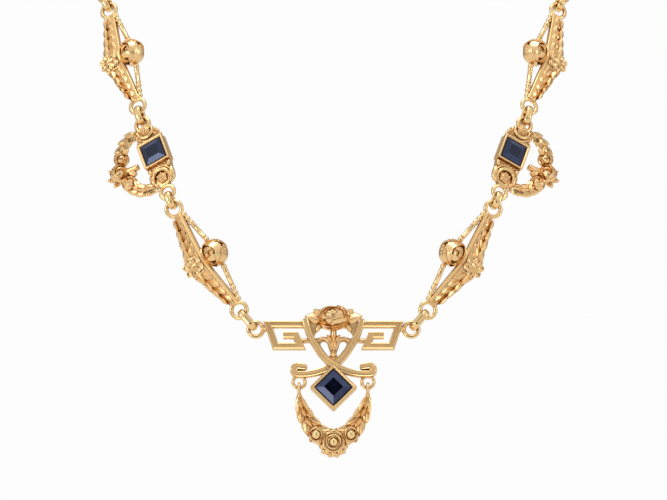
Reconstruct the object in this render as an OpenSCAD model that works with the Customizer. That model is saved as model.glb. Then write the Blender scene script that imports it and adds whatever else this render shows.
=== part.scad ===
// Festoon necklace of yellow gold with three square step-cut sapphires, held in its worn form.
// Millimetres. +Z is up, the front faces -Y, and the origin is the middle of the neck loop.
// Each ornament is drawn in its own face frame: x outward, y up along the piece, z out of its face.

/* [Neck loop] */
// Distance of the plaque in front of the origin
front_reach = 62; // [55:1:70]
// Distance of the clasp behind the origin
back_reach = 53; // [46:1:60]
// Drop of the plaque's eyelets below the origin
plaque_drop = 92; // [85:1:100]
// How far the hidden chain runs on in the direction of the last ornament
shoulder_pull = 51; // [50:1:52]
// Half width of the loop's flat stretch at the nape
nape_half = 42; // [41:1:43]

/* [Hang of the pieces] */
// Backward lean of the plaque in degrees
plaque_lean = 15; // [10:1:20]
// Backward lean of the lower laurel links
lower_lean = 16; // [12:1:20]
// Backward lean of the sapphire links
stone_lean = 28; // [24:1:32]
// Backward lean of the upper laurel links
upper_lean = 31.4; // [28:0.2:35]
// Outward slant of the lower laurel links
lower_slant = 33.3; // [30:0.1:36]
// Outward slant of the sapphire links
stone_slant = 21.4; // [18:0.1:24]
// Outward slant of the upper laurel links
upper_slant = 18.2; // [15:0.1:21]

/* [Wire and eyelets] */
// Wire thickness of the eyelets
eye_wire = 0.86; // [0.8:0.02:0.92]
// Centreline radius of a laurel link's eyelets
laurel_eye = 1.6; // [1.5:0.02:1.7]
// Centreline radius of a sapphire link's eyelets
stone_eye = 1.47; // [1.44:0.01:1.56]
// Centreline radius of the plaque's eyelets
plaque_eye = 1.46; // [1.44:0.01:1.52]
// Thickness of a connecting link's bar in its own plane
bar_thick = 0.85; // [0.8:0.01:0.88]
// Breadth of a connecting link's bar
bar_broad = 1.45; // [1.3:0.05:1.5]
// Front to back size of a connecting link
bar_depth = 3.4; // [3.3:0.05:3.6]
// Clearance between a connecting link and the eyelet that holds it
slack = 0.22; // [0.2:0.01:0.26]

/* [Back chain] */
// Outer length of a chain link
cable_len = 4.9; // [4.6:0.1:5.2]
// Outer width of a chain link
cable_wide = 3.2; // [3.1:0.1:3.5]
// Wire thickness of a chain link
cable_wire = 0.85; // [0.8:0.01:0.88]
// Outer width of the first link, which holds the flat bar of the last connecting link
first_wide = 3.5; // [3.48:0.01:3.6]
// Links in each half of the back chain
cable_count = 37; // [37:2:39]
// Body of the box clasp: length, height and thickness
clasp_size = [9, 5, 2.2]; // [1:0.1:12]

/* [Plaque] */
// Half distance between the plaque's eyelets
plaque_half = 15.54; // [15:0.02:16]
// Width of the Greek key bars
key_bar = 1.38; // [1.2:0.02:1.5]
// Width of the ribbon bands
ribbon_wide = 1.25; // [1.1:0.05:1.4]
// Side of the central sapphire
big_stone = 5.44; // [5.3:0.02:5.5]
// Outer side of its square bezel
big_bezel = 6.67; // [6.5:0.01:6.8]
// Centreline radius of the two rings under the scrolls
hang_ring = 1.2; // [1.16:0.02:1.26]
// Wire thickness of those rings
hang_wire = 0.7; // [0.64:0.02:0.72]
// Half distance between those rings
hang_half = 6.85; // [6.7:0.05:7]

/* [Hanging garland] */
// Centreline radius of the garland's loops about the swing axis
loop_radius = 0.83; // [0.8:0.01:0.84]
// Wire thickness of the loops
loop_wire = 0.68; // [0.6:0.02:0.68]
// Drop of the middle rosette below the swing axis
rosette_drop = 10.6; // [10:0.1:11]

/* [Laurel link] */
// Distance between a laurel link's eyelets
laurel_len = 25.3; // [25:0.1:25.6]
// Radius of the rose ball
rose_ball = 2.6; // [2.4:0.05:2.8]
// Radius of a baluster bead
bead = 0.52; // [0.46:0.02:0.58]

/* [Sapphire link] */
// Distance between a sapphire link's eyelets
stone_len = 16.95; // [16.6:0.05:17.2]
// Side of a side sapphire
small_stone = 4.8; // [4.7:0.02:4.86]
// Outer side of its bezel
small_bezel = 5.9; // [5.8:0.02:6.1]

/* [Hidden] */
$fn = 48;
gold = "goldenrod";

function unit(v) = v / norm(v);
function heading(slant, lean) = [cos(lean) * sin(slant), sin(lean), cos(lean) * cos(slant)];

// Where a connecting link's bar rests inside an eyelet, measured from the eyelet's centre
function seat(eye) = eye - eye_wire / 2 - slack - bar_thick / 2;

// Each joiner's slant, lean and roll, and the distance it spans between two eyelets
joiner_slant = [41, 22.5, 16, 17];
joiner_lean = [11, 26.5, 27.5, 34];
joiner_roll = [5, 13, 16, 16];
joiner_span = [5.22, 4.15, 4.6, 4.5];
piece_roll = [10, 16, 16];

// The eyelet centres up the right side, each from the one before
plaque_at = [0, -front_reach, -plaque_drop];
point_0 = plaque_at + [plaque_half, 0, 0];
point_1 = point_0 + joiner_span[0] * heading(joiner_slant[0], joiner_lean[0]);
point_2 = point_1 + laurel_len * heading(lower_slant, lower_lean);
point_3 = point_2 + joiner_span[1] * heading(joiner_slant[1], joiner_lean[1]);
point_4 = point_3 + stone_len * heading(stone_slant, stone_lean);
point_5 = point_4 + joiner_span[2] * heading(joiner_slant[2], joiner_lean[2]);
point_6 = point_5 + laurel_len * heading(upper_slant, upper_lean);

// The chain runs on in the direction of the last joiner, whose upper bar holds the first link.
// That link lies square to the joiner, and the next ones turn back by steps
first_gap = 0.25;
first_turn = 44.7;
turned_links = 4;
chain_pull = heading(joiner_slant[3], joiner_lean[3]);
cable_gap = 0.15;
half_step = (cable_wire + cable_gap) / 2;
joiner_top = joiner_span[3] - seat(laurel_eye);
cable_start = point_6 + (joiner_top - (bar_thick + cable_wire) / 2 - first_gap + half_step) * chain_pull;

// The route of the hidden chain is a cubic curve round the neck to the clasp
clasp_eye_at = clasp_size[0] / 2 + 1;
clasp_end = clasp_eye_at + laurel_eye - (eye_wire + cable_wire) / 2 - cable_gap + half_step;
route_knots = [cable_start, cable_start + shoulder_pull * chain_pull,
    [nape_half, back_reach, 0], [clasp_end, back_reach, 0]];
function route(t) = pow(1 - t, 3) * route_knots[0] + 3 * t * pow(1 - t, 2) * route_knots[1]
    + 3 * t * t * (1 - t) * route_knots[2] + t * t * t * route_knots[3];
function speed(t) = norm(3 * pow(1 - t, 2) * (route_knots[1] - route_knots[0])
    + 6 * t * (1 - t) * (route_knots[2] - route_knots[1]) + 3 * t * t * (route_knots[3] - route_knots[2]));
route_steps = 60;
function sum(list, i = 0) = i < len(list) ? list[i] + sum(list, i + 1) : 0;
route_len = sum([for (i = [1:route_steps]) norm(route(i / route_steps) - route((i - 1) / route_steps))]);
cable_pitch = route_len / cable_count;
function next_t(t) = t + cable_pitch / speed(t + cable_pitch / speed(t) / 2);
route_marks = [for (i = 0, t = 0; i <= cable_count; i = i + 1, t = next_t(t)) t];

// Places a piece drawn in its face frame: face up to world up, then roll, lean and slant
module aim(at, slant, lean, roll) {
    translate(at) rotate([0, slant, 0]) rotate([-lean, 0, 0]) rotate([0, 0, roll]) rotate([90, 0, 0])
        children();
}

module left_side() {
    mirror([1, 0, 0]) children();
}

// Joins small ornaments into one cast relief
module relief() {
    resize([0, 0, 0]) union() children();
}

module ring(radius, wire) {
    rotate_extrude() translate([radius, 0]) circle(d = wire);
}

// A straight bar between two points of the face, from depth low to depth high
module bar(from, to, wide, low, high) {
    run = to - from;
    translate([from.x, from.y, low]) rotate([0, 0, atan2(run.y, run.x)]) translate([0, -wide / 2, 0])
        cube([norm(run), wide, high - low]);
}

// A bevelled leaf along +x with a raised midrib, its foot sunk into what carries it
module leaf(long, wide, high, foot) {
    half = 0.58 * wide;
    rim = [[0, -0.4 * half], [0.4 * long, -half], [0.78 * long, -0.62 * half], [long, 0],
        [0.78 * long, 0.62 * half], [0.4 * long, half], [0, 0.4 * half]];
    low = [for (p = rim) [p.x, p.y, -foot]];
    rib = [[0, 0, 0.75 * high], [0.45 * long, 0, high], [0.82 * long, 0, 0.7 * high]];
    polyhedron(concat(low, rib), [[0, 1, 2, 3, 4, 5, 6], [0, 7, 8], [0, 8, 1], [1, 8, 9], [1, 9, 2], [2, 9, 3],
        [3, 9, 4], [4, 9, 8], [4, 8, 5], [5, 8, 7], [5, 7, 6], [6, 7, 0]]);
}

// One leaf set on the face with its foot at one point and its tip at another
module leaf_to(from, to, wide, high, level) {
    run = to - from;
    translate([from.x, from.y, level]) rotate([0, 0, atan2(run.y, run.x)])
        leaf(norm(run), wide, high, 0.4);
}

// A round bead standing on the face
module pearl(at, level, radius) {
    translate([at.x, at.y, level]) sphere(radius);
}

// A cupped rosette: a dished ring with a bevelled rim
module cup(at, level, radius, high) {
    translate([at.x, at.y, level]) rotate_extrude($fn = 12) polygon([[0, 0], [radius, 0],
        [radius, 0.5 * high], [0.8 * radius, high], [0.55 * radius, 0.6 * high], [0, 0.6 * high]]);
}

// Points along a smooth curve through a few control points
function bend(a, b, c, d, t) = 0.5 * (2 * b + (c - a) * t + (2 * a - 5 * b + 4 * c - d) * t * t
    + (3 * b - a - 3 * c + d) * t * t * t);
function knot(path, i) = path[min(max(i, 0), len(path) - 1)];
function smooth(path, steps) = concat([for (i = [0:len(path) - 2], s = [0:steps - 1])
    bend(knot(path, i - 1), path[i], path[i + 1], knot(path, i + 2), s / steps)], [path[len(path) - 1]]);

// The point beside a path's vertex, mitred where the path turns
function beside(path, i, off) = let (
    before = unit(knot(path, max(i, 1)) - knot(path, max(i, 1) - 1)),
    after = unit(knot(path, min(i, len(path) - 2) + 1) - knot(path, min(i, len(path) - 2))),
    way = unit(before + after), across = [-way.y, way.x])
    path[i] + off / (way * before) * across;
function outline(path, wide) = concat([for (i = [0:len(path) - 1]) beside(path, i, wide / 2)],
    [for (i = [len(path) - 1:-1:0]) beside(path, i, -wide / 2)]);

module strip(path, wide, low, high) {
    translate([0, 0, low]) linear_extrude(high - low) polygon(outline(path, wide));
}

// Square frame that holds a stone, open at the back
module bezel(outer, stone, low, high, ledge) {
    difference() {
        translate([-outer / 2, -outer / 2, low]) cube([outer, outer, high - low]);
        translate([-stone / 2 - 0.05, -stone / 2 - 0.05, ledge]) cube([stone + 0.1, stone + 0.1, high]);
        translate([-0.45 * stone, -0.45 * stone, low - 1]) cube([0.9 * stone, 0.9 * stone, high - low + 1]);
    }
}

// One square slab of a stone, tapering from one side length to another
module slab(low, high, side_low, side_high) {
    translate([0, 0, low]) linear_extrude(high - low, scale = side_high / side_low)
        square(side_low, center = true);
}

// Square step-cut stone: a steep first crown step, a broad second one up to the table,
// the girdle and two pavilion steps
module square_stone(side, girdle) {
    slab(girdle + 0.42, girdle + 0.88, 0.92 * side, 0.5 * side);
    slab(girdle + 0.16, girdle + 0.42, side, 0.92 * side);
    slab(girdle, girdle + 0.16, side, side);
    slab(girdle - 0.6, girdle, 0.7 * side, side);
    slab(girdle - 1.3, girdle - 0.6, 0.16 * side, 0.7 * side);
}

// Oval link with a flat-sided bar: long along y, deep along x, broad along z
module oval_link(long, deep, thick, broad) {
    swing = (deep - thick) / 2;
    rise = (long - deep) / 2;
    for (end = [0, 1]) mirror([0, end, 0]) translate([0, rise, 0]) rotate_extrude(angle = 180)
        translate([swing, 0]) bar_section(thick, broad);
    for (end = [0, 1]) mirror([end, 0, 0]) translate([swing, rise, 0]) rotate([90, 0, 0])
        linear_extrude(2 * rise) bar_section(thick, broad);
}

module bar_section(thick, broad) {
    if (broad > thick) {
        square([thick, broad - thick], center = true);
        for (end = [-1, 1]) translate([0, end * (broad - thick) / 2]) circle(d = thick);
    } else {
        circle(d = thick);
    }
}

// Laurel link

laurel_mid = laurel_len / 2;
laurel_tiers = 4;
flower_at = [3.07, laurel_mid];
ball_at = [-2.25, laurel_mid];
// The laurel's spine runs from beside the flower to beside the eyelet
spine_top = [2.75, laurel_mid - 1.3];
spine_foot = [0.55, 1.8];
function spine(f) = spine_top + f * (spine_foot - spine_top);
function laurel_half(f) = 1.55 - 0.85 * f;

module laurel_half_relief() {
    // backing plate under the leaves
    translate([0, 0, -0.5]) linear_extrude(0.7) polygon([[-0.5, 1.5], [0.85, laurel_mid - 1],
        [0.85, laurel_mid + 0.2], [4.2, laurel_mid + 0.2], [4.0, laurel_mid - 1.4], [3.3, 7], [2.4, 4.4], [0.9, 1.5]]);
    for (k = [0:laurel_tiers - 1]) {
        f = k / laurel_tiers;
        foot = spine(f * 0.98);
        half = laurel_half(f);
        way = unit(spine_foot - spine_top);
        across = [-way.y, way.x];
        reach = 3.3 - 1.0 * f;
        for (side = [-1, 1])
            leaf_to(foot + side * 0.35 * half * across, foot + reach * way + side * (half - 0.15) * across,
                1.35 * half, 1.0, -0.1 + 0.03 * k + (side > 0 ? 0.05 : 0));
        leaf_to(foot - 0.3 * way, foot + (reach - 0.5) * way, 1.1 * half, 1.2, 0.1 + 0.05 * k);
    }
    // cross band between leaves and flower
    bar([0.9, laurel_mid - 1.75], [4.1, laurel_mid - 1.9], 0.6, -0.4, 0.95);
}

module laurel_link() {
    color(gold) {
        for (end = [0, laurel_len]) translate([0, end, 0]) ring(laurel_eye, eye_wire);
        relief() {
            for (half = [0, 1]) translate([0, laurel_mid, 0]) mirror([0, half, 0]) translate([0, -laurel_mid, 0])
                laurel_half_relief();
            rose_petals(ball_at);
        }
        flower(flower_at);
        for (half = [0, 1]) translate([0, laurel_mid, 0]) mirror([0, half, 0]) translate([0, -laurel_mid, 0])
            laurel_half_wires();
        translate([ball_at.x, ball_at.y, 0.3]) sphere(rose_ball);
    }
}

// The straight bar and the turned baluster of one half
baluster_foot = [-1.0, 1.25];
baluster_top = [-2.45, 10.6];
baluster_beads = [0.95, 2.15, 3.35, 8.1];

module laurel_half_wires() {
    bar([-0.45, 1.5], [0.72, laurel_mid + 0.1], 0.95, -0.58, 0.72);
    run = baluster_top - baluster_foot;
    translate([baluster_foot.x, baluster_foot.y, 0.04]) rotate([0, 0, atan2(run.y, run.x) - 90])
        rotate([-90, 0, 0]) rotate_extrude() intersection() {
            union() {
                square([0.36, norm(run)]);
                for (y = baluster_beads) translate([0, y]) circle(bead);
            }
            square([1, norm(run)]);
        }
}

module rod(from, to, radius) {
    run = to - from;
    translate([from.x, from.y, 0.05]) rotate([0, 0, atan2(run.y, run.x)]) rotate([0, 90, 0])
        cylinder(r = radius, h = norm(run));
}

// Six-petalled flower
module flower(at) {
    petals = 6;
    translate([at.x, at.y, 0]) {
        translate([0, 0, -0.45]) cylinder(r = 1.45, h = 1.1);
        for (i = [0:petals - 1]) rotate([0, 0, 360 * i / petals + 30]) translate([1.22, 0, 0.5])
            sphere(0.68);
        translate([0, 0, 0.9]) sphere(0.5);
    }
}

// Curled petals on the rose ball
module rose_petals(at) {
    petal_turn = [20, 143, 262, 80];
    petal_reach = [1.8, 1.68, 1.74, 0.9];
    petal_lift = [1.9, 2.05, 1.97, 2.55];
    translate([at.x, at.y, 0.3]) for (i = [0:3]) rotate([0, 0, petal_turn[i]]) translate([0, 0, petal_lift[i]])
        rotate_extrude(angle = 130, $fn = 14) translate([petal_reach[i], 0])
            polygon([[-0.3, -0.5], [0.35, -0.5], [0.3, 0.08], [-0.05, 0.2]]);
}

// Sapphire link

stone_mid = 9.0;
setting_at = [-0.38, 9.65];

module stone_link() {
    color(gold) {
        for (end = [0, stone_len]) translate([0, end, 0]) ring(stone_eye, eye_wire);
        translate(setting_at) bezel(small_bezel, small_stone, -1.1, 1.15, 0.15);
        relief() {
            shoulder([-0.25, 14.8], 1, 1.5);
            shoulder([-0.2, 3.5], -1, 1.7);
            side_branch();
            translate([0, 2 * stone_mid, 0]) mirror([0, 1, 0]) side_branch();
            tips();
        }
        pearl([-0.25, 14.8], 0.75, 0.83);
        pearl([-0.2, 3.5], 0.75, 0.93);
        pearl([8.2, stone_mid + 0.1], 0.5, 1.75);
        pearl([6.85, stone_mid + 3.0], 0.45, 1.38);
        pearl([6.95, stone_mid - 3.1], 0.45, 1.45);
        // small stub towards the setting
        rod([3.95, stone_mid - 0.5], [6.6, stone_mid - 0.1], 0.5);
        pearl([3.95, stone_mid - 0.5], 0.05, 0.52);
    }
}

// Acanthus shoulder with its rosette, between the setting and an eyelet
module shoulder(at, way, radius) {
    edge = setting_at.y + way * (small_bezel / 2 - 0.1);
    tip = way > 0 ? stone_len - stone_eye - 0.07 : stone_eye + 0.07;
    translate([0, 0, -0.8]) linear_extrude(1.3) polygon([[setting_at.x - 2.9, edge], [setting_at.x + 2.9, edge],
        [2.2, at.y], [0.9, tip], [-0.9, tip], [-2.7, at.y]]);
    for (side = [-1, 1]) for (k = [0:1])
        leaf_to([at.x + side * 0.9, at.y + way * (0.7 - 1.2 * k)],
            [at.x + side * (2.55 + 0.2 * k), at.y - way * (0.2 + 1.4 * k)], 1.7, 1.0, 0.2);
    cup(at, 0.2, radius, 1.15);
}

// One laurel branch of the half-round side garland, from the lower shoulder to the ball
module side_branch() {
    path = [[1.75, 2.25], [3.35, 2.45], [5.0, 3.2], [6.3, 4.6], [7.0, 6.2]];
    leaf_reach = [2.1, 2.3, 2.3];
    translate([0, 0, -0.5]) linear_extrude(0.8) polygon(outline(smooth(path, 3), 1.7));
    for (k = [0:2]) {
        foot = path[k];
        way = unit(path[k + 1] - path[k]);
        across = [-way.y, way.x];
        for (side = [-1, 1])
            leaf_to(foot + side * 0.2 * across, foot + leaf_reach[k] * way + side * 0.85 * across,
                1.5, 0.9, 0.08 - 0.04 * k);
        leaf_to(foot, foot + (leaf_reach[k] - 0.3) * way, 1.1, 1.1, 0.28 - 0.04 * k);
    }
    cup([6.85, 5.95], -0.5, 1.75, 1.1);
}

// Three leaf tips outside the middle ball
module tips() {
    cup([8.2, stone_mid], -0.6, 2.1, 1.2);
    for (turn = [-42, 0, 42]) translate([8.2, stone_mid, 0]) rotate([0, 0, turn]) translate([1.2, 0, -0.1])
        leaf(1.75, 1.3, 0.9, 0.4);
}

// Plaque

ribbon_path = [[-5.72, 2.1], [-5.35, 0.6], [-4.72, -1.3], [-3.72, -3.15], [-2.56, -5.0], [-1.3, -6.46],
    [0, -7.39], [1.52, -8.18], [3.3, -8.84], [5.0, -9.17], [6.1, -9.24], [7.07, -9.24]];
scroll_at = [7.07, -8.4];
scroll_reach = 0.84;
scroll_end = [5.75, -7.62];
key_path = [[5.3, 1.01], [13.06, 1.01], [11.58, -3.48], [6.58, -3.48], [7.56, -1.22], [9.5, -1.22]];
big_at = [0, -11.97];
ring_drop = 10.8;
axis_drop = ring_drop + hang_ring;

module key_side() {
    strip(key_path, key_bar, -0.6, 0.7);
    translate([9.5, -1.22, -0.6]) cylinder(d = key_bar, h = 1.3);
    bar([4.4, -2.3], [6.95, -2.3], 0.9, -0.45, 0.5);
    translate([plaque_half, 0, 0]) ring(plaque_eye, eye_wire);
    pearl([13.62, 0], 0, 0.55);
    translate([hang_half, -ring_drop, 0]) ring(hang_ring, hang_wire);
}

module centre_plaque() {
    color(gold) {
        key_side();
        mirror([1, 0, 0]) key_side();
        ribbon(-0.5, 1.05);
        mirror([1, 0, 0]) ribbon(-0.62, 0.78);
        translate(big_at) rotate([0, 0, 45]) bezel(big_bezel, big_stone, -0.9, 1.2, 0.2);
        relief() {
            fret();
            rose();
            anthemion();
        }
        pearl([0, -5.34], 0.2, 0.52);
    }
}

// A band that sweeps down across the plaque and curls over at its end
module ribbon(low, high) {
    strip(smooth(ribbon_path, 3), ribbon_wide, low, high);
    translate([scroll_at.x, scroll_at.y, (low + high) / 2]) rotate([0, 0, -90]) rotate_extrude(angle = 180)
        translate([scroll_reach, 0]) square([ribbon_wide, high - low], center = true);
    bar([scroll_at.x, scroll_at.y + scroll_reach], scroll_end, ribbon_wide, low, high);
    translate([scroll_end.x, scroll_end.y, low]) cylinder(d = ribbon_wide, h = high - low);
}

// Pierced plate between the ribbons
module fret() {
    translate([0, 0, -0.42]) linear_extrude(0.62) difference() {
        polygon([[-5.3, 1.6], [-4.6, -1.3], [-2.4, -5.0], [0, -7.2], [2.4, -5.0], [4.6, -1.3], [5.3, 1.6]]);
        for (side = [-1, 1]) {
            polygon([[side * 0.5, -0.2], [side * 1.6, 0.1], [side * 2.9, -0.8], [side * 3.85, -1.5],
                [side * 3.3, -2.0], [side * 2.2, -1.55], [side * 1.3, -1.75], [side * 0.55, -1.5]]);
            polygon([[side * 1.45, -2.55], [side * 2.5, -2.75], [side * 2.55, -3.3], [side * 1.6, -4.9],
                [side * 1.0, -5.6], [side * 0.62, -5.0], [side * 0.95, -3.9]]);
        }
    }
}

// Full-blown rose with its leaves and buds
module rose() {
    bud_at = [-0.35, 3.9];
    translate([0, 2.45, -0.5]) rotate_extrude($fn = 14)
        polygon([[0, 0], [2.5, 0], [2.45, 1.1], [1.9, 2.1], [1.0, 2.6], [0, 2.7]]);
    // petals round the bud, wider and lower outward
    petal_reach = [0.55, 1.2, 1.8, 2.5];
    petal_level = [2.5, 2.2, 1.75, 1.05];
    petal_shift = [0, 0.3, 0.8, 1.3];
    for (i = [0:3]) for (turn = [0:2])
        translate([bud_at.x * (1 - i / 3), bud_at.y - petal_shift[i], petal_level[i]])
            rotate([0, 0, 120 * turn + 50 * i]) rotate_extrude(angle = 112, $fn = 14)
                translate([petal_reach[i], 0]) polygon([[-0.35, -0.75], [0.2, -0.75], [0.32, 0.0], [0, 0.08]]);
    leaf_ends = [[[-1.8, 2.6], [-3.9, 3.7]], [[-2.2, 1.6], [-5.6, 2.4]], [[-2.3, 1.6], [-3.65, -0.75]]];
    for (pair = leaf_ends) for (side = [0, 1]) mirror([side, 0, 0]) leaf_to(pair[0], pair[1], 1.7, 1.0, 0.15);
}

// Stem, calyx, curved arms and drop ball
module anthemion() {
    bar([0, 0.3], [0, -1.9], 1.05, -0.4, 0.85);
    for (side = [0, 1]) mirror([side, 0, 0]) {
        leaf_to([-0.1, -2.6], [-1.35, -1.25], 1.0, 0.9, 0.1);
        translate([0, 0, -0.4]) linear_extrude(0.95)
            polygon(outline(smooth([[-0.3, -4.3], [-0.75, -3.4], [-1.2, -2.4], [-2.0, -2.0], [-3.2, -2.5]], 2), 0.7));
    }
    leaf_to([0, -1.9], [0, -4.7], 1.5, 1.1, 0.1);
    bar([0, -4.4], [0, -6.9], 0.7, -0.4, 0.3);
}

// Hanging garland, drawn from the swing axis with y up

module garland_half() {
    path = [[6.85, -1.3], [6.75, -2.2], [6.3, -4.2], [5.3, -6.6], [3.6, -9.0], [1.5, -10.4]];
    wide = [0.8, 1.4, 2.2, 2.9, 3.2, 3.0];
    translate([0, 0, -0.55]) linear_extrude(0.8) polygon(concat(
        [for (i = [0:5]) beside(path, i, wide[i] * 0.42)],
        [for (i = [5:-1:0]) beside(path, i, -wide[i] * 0.42)]));
    for (k = [0:3]) {
        foot = path[k + 1] + 0.35 * (path[k] - path[k + 1]);
        way = unit(path[k + 2] - path[k + 1]);
        across = [-way.y, way.x];
        for (side = [-1, 1])
            leaf_to(foot + side * 0.15 * across, foot + 2.7 * way + side * 0.46 * wide[k + 1] * across,
                0.5 * wide[k + 1] + 0.7, 1.0, 0.05 - 0.04 * k);
        leaf_to(foot, foot + 2.4 * way, 1.0, 1.15, 0.25 - 0.04 * k);
    }
    cup([3.45, -9.15], -0.4, 1.6, 1.35);
    leaf_to([1.2, -11.6], [2.6, -13.0], 1.4, 0.9, -0.1);
}

module garland() {
    color(gold) {
        for (side = [-1, 1]) translate([side * hang_half, 0, 0]) {
            rotate([0, 90, 0]) rotate_extrude() translate([loop_radius, 0])
                bar_section(loop_wire, loop_wire + 0.1);
            translate([0, -loop_radius - 0.1, 0]) rotate([90, 0, 0]) cylinder(d = 0.75, h = 1.1);
        }
        relief() {
            garland_half();
            mirror([1, 0, 0]) garland_half();
            cup([0, -rosette_drop], -0.55, 2.3, 1.5);
            cup([0, -rosette_drop], 0.3, 1.5, 1.2);
            leaf_to([0, -rosette_drop - 1.4], [0, -13.8], 1.9, 0.9, -0.1);
        }
        for (side = [-1, 1]) pearl([side * 3.45, -9.15], 0.85, 0.96);
        pearl([0, -rosette_drop], 1.25, 0.86);
    }
}

// Clasp: plain box with an eyelet at each end, lying along x
module clasp() {
    color(gold) translate([0, back_reach, 0]) {
        translate([-clasp_size[0] / 2, -clasp_size[2] / 2, -clasp_size[1] / 2])
            cube([clasp_size[0], clasp_size[2], clasp_size[1]]);
        for (side = [-1, 1]) translate([side * clasp_eye_at, 0, 0]) rotate([90, 0, 0])
            ring(laurel_eye, eye_wire);
    }
}

// Placed pieces

module at_plaque() {
    aim(plaque_at, 0, plaque_lean, 0) children();
}

module lower_laurel() aim(point_1, lower_slant, lower_lean, piece_roll[0]) laurel_link();
module upper_laurel() aim(point_5, upper_slant, upper_lean, piece_roll[2]) laurel_link();
module sapphire_link() aim(point_3, stone_slant, stone_lean, piece_roll[1]) stone_link();
module side_sapphire() {
    color("midnightblue") aim(point_3, stone_slant, stone_lean, piece_roll[1]) translate(setting_at)
        square_stone(small_stone, 0.45);
}

// Connecting link that spans from one eyelet to the next
module joiner(i, from, eye_a, eye_b) {
    way = heading(joiner_slant[i], joiner_lean[i]);
    low = seat(eye_a);
    high = joiner_span[i] - seat(eye_b);
    color(gold) aim(from + (low + high) / 2 * way, joiner_slant[i], joiner_lean[i], joiner_roll[i])
        rotate([0, 90, 0]) oval_link(high - low + bar_thick, bar_depth, bar_thick, bar_broad);
}

// Round-wire links, each turned a quarter from the one before
module back_chain() {
    color(gold) for (i = [0:cable_count - 1]) {
        from = route(route_marks[i]);
        to = route(route_marks[i + 1]);
        way = unit(to - from);
        turn = 90 * (i % 2) + first_turn * max(0, 1 - i / turned_links);
        translate((from + to) / 2) rotate([0, 0, atan2(way.y, way.x)]) rotate([0, -asin(way.z), 0])
            rotate([turn, 0, 0]) rotate([0, 0, -90])
                oval_link(cable_len, i == 0 ? first_wide : cable_wide, cable_wire, 0);
    }
}

module centre_sapphire() {
    color("midnightblue") at_plaque() translate(big_at) rotate([0, 0, 45]) square_stone(big_stone, 0.5);
}

// The garland hangs straight down from the swing axis
swing_at = plaque_at + axis_drop * [0, -sin(plaque_lean), -cos(plaque_lean)];
module hung_garland() aim(swing_at, 0, 0, 0) garland();

at_plaque() centre_plaque();
centre_sapphire();
hung_garland();  // garland
left_side() lower_laurel();  // lower_laurel_left
lower_laurel();  // lower_laurel_right
left_side() upper_laurel();  // upper_laurel_left
upper_laurel();  // upper_laurel_right
left_side() sapphire_link();  // stone_link_left
sapphire_link();  // stone_link_right
left_side() side_sapphire();  // side_sapphire_left
side_sapphire();  // side_sapphire_right
left_side() joiner(0, point_0, plaque_eye, laurel_eye);  // plaque_joiner_left
joiner(0, point_0, plaque_eye, laurel_eye);  // plaque_joiner_right
left_side() joiner(1, point_2, laurel_eye, stone_eye);  // lower_joiner_left
joiner(1, point_2, laurel_eye, stone_eye);  // lower_joiner_right
left_side() joiner(2, point_4, stone_eye, laurel_eye);  // upper_joiner_left
joiner(2, point_4, stone_eye, laurel_eye);  // upper_joiner_right
left_side() joiner(3, point_6, laurel_eye, laurel_eye);  // chain_joiner_left
joiner(3, point_6, laurel_eye, laurel_eye);  // chain_joiner_right
left_side() back_chain();  // back_chain_left
back_chain();  // back_chain_right
clasp();
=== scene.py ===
import math

import bpy
import numpy as np
from mathutils import Matrix, Vector
from mathutils.geometry import tessellate_polygon


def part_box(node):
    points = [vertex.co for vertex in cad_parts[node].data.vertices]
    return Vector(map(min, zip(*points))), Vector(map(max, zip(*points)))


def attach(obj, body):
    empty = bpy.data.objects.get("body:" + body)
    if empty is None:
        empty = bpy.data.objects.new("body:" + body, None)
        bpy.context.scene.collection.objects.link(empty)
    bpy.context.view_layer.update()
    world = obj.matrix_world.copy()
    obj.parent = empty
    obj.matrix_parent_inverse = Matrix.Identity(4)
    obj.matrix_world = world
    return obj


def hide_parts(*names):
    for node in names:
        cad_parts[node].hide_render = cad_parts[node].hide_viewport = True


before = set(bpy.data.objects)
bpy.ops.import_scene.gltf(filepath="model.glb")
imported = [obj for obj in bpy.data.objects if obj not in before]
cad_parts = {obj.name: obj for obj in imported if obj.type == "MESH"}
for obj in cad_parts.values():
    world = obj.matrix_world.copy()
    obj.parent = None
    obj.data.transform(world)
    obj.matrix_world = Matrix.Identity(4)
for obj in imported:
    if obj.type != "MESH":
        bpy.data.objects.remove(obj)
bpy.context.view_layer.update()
print("frame loaded:", len(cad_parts), "nodes")

mm = 0.001


def addObject(name, data):
    thing = bpy.data.objects.new(name, data)
    bpy.context.collection.objects.link(thing)
    return thing


def newMaterial(name):
    material = bpy.data.materials.new(name)
    material.use_nodes = True
    return material, material.node_tree, material.node_tree.nodes["Principled BSDF"]


# Camera: level, square to the plaque, far enough off for a product shot

camera = {"distance": 700.0, "plaqueDepth": -62.0, "height": -76.08, "frameWidth": 133.4, "sensor": 36.0}  # mm

cameraData = bpy.data.cameras.new("camera")
cameraData.sensor_width = camera["sensor"]
cameraData.lens = camera["sensor"] * camera["distance"] / camera["frameWidth"]
cameraData.clip_start = 10 * mm
cameraObject = addObject("camera", cameraData)
cameraObject.location = (0, (camera["plaqueDepth"] - camera["distance"]) * mm, camera["height"] * mm)
cameraObject.rotation_euler = (math.pi / 2, 0, 0)
bpy.context.scene.camera = cameraObject
bpy.context.scene.view_settings.view_transform = "Standard"


def linearColour(code):  # a hex code of sRGB as the linear values that Blender works in
    parts = [int(code[i:i + 2], 16) / 255 for i in (1, 3, 5)]
    return tuple(p / 12.92 if p <= 0.04045 else ((p + 0.055) / 1.055) ** 2.4 for p in parts) + (1.0,)


def wholeTurn(count):  # angles evenly round a circle
    return np.linspace(0, 2 * math.pi, count, endpoint=False)


def rolled(degrees, axis):
    return Matrix.Rotation(math.radians(degrees), 4, axis)


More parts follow.
